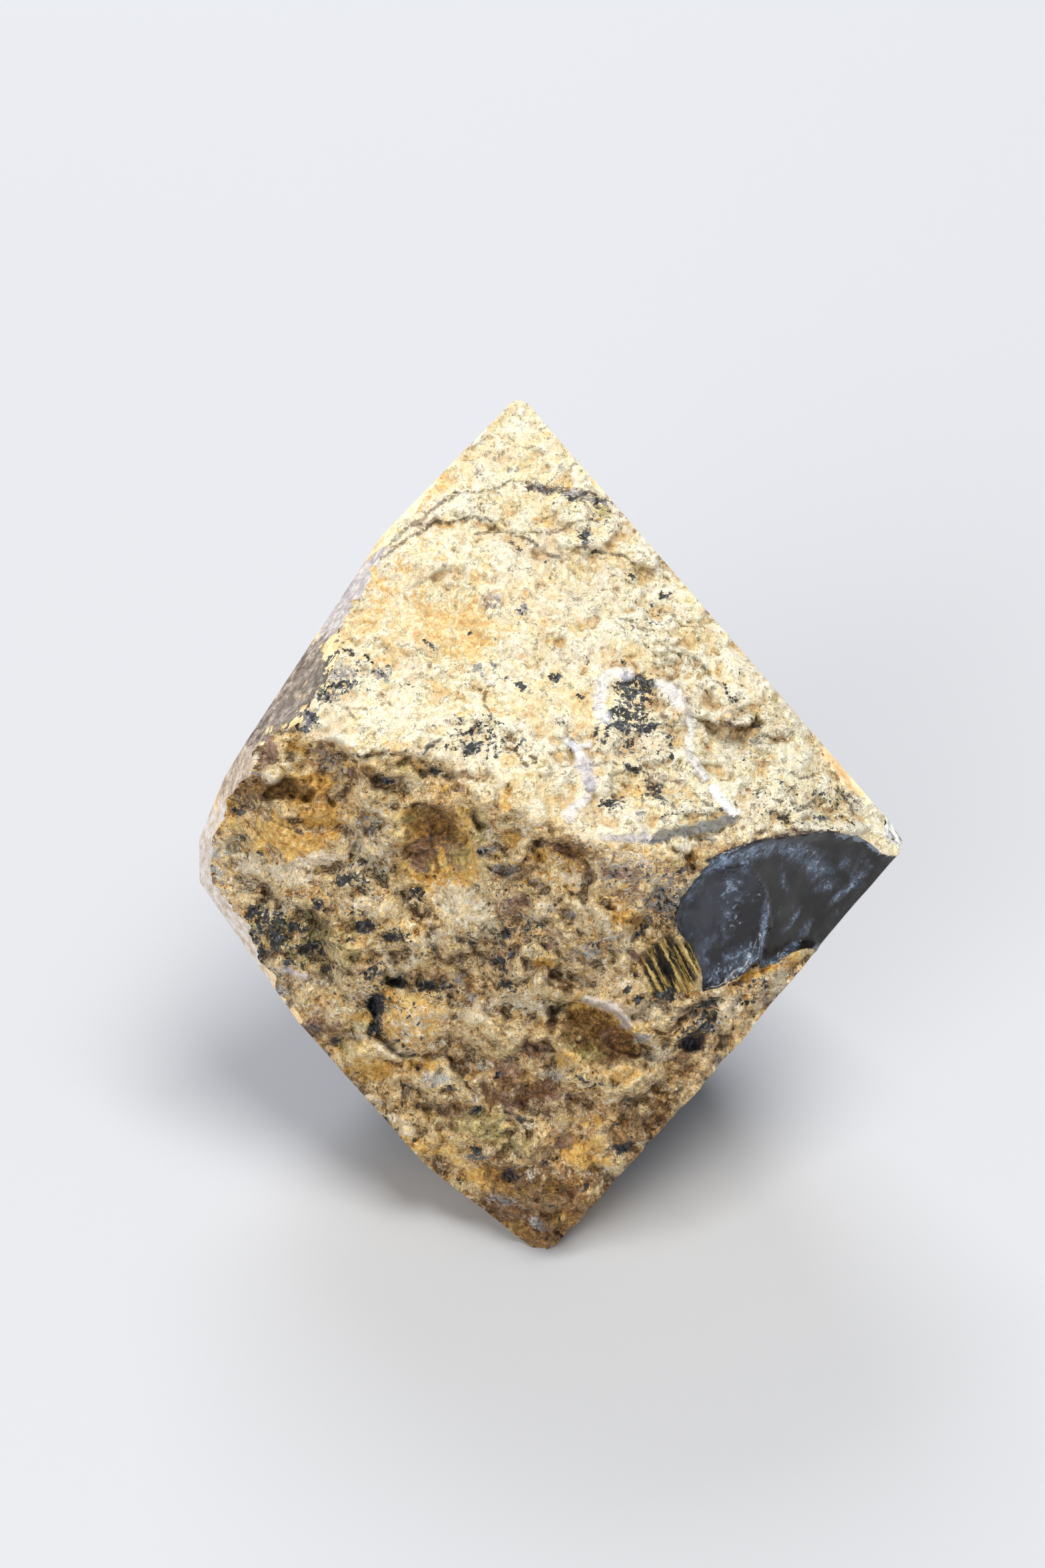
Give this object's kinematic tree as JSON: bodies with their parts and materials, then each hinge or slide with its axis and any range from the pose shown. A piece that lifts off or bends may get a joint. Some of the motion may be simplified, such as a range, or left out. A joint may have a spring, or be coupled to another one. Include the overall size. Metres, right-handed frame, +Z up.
{
  "type": "dendritic opal",
  "caption": "Part-polished dendritic opal stone with a rough cream and rust crust in front, polished facets behind and a small flat foot to stand on.",
  "frame": {"origin": "on the flat foot, under the middle of the stone's front", "axes": "+Z up, square to the foot; +Y from the rough front to the polished back; +X to the right, seen from the front"},
  "size_m": [0.0591, 0.0443, 0.0605],
  "materials": {
    "opal_stone": "rough granular crust in front, glossy lapidary polish on the other sides"
  },
  "bodies": {
    "root": {"opal_stone": "opal_stone"}
  },
  "joints": []
}
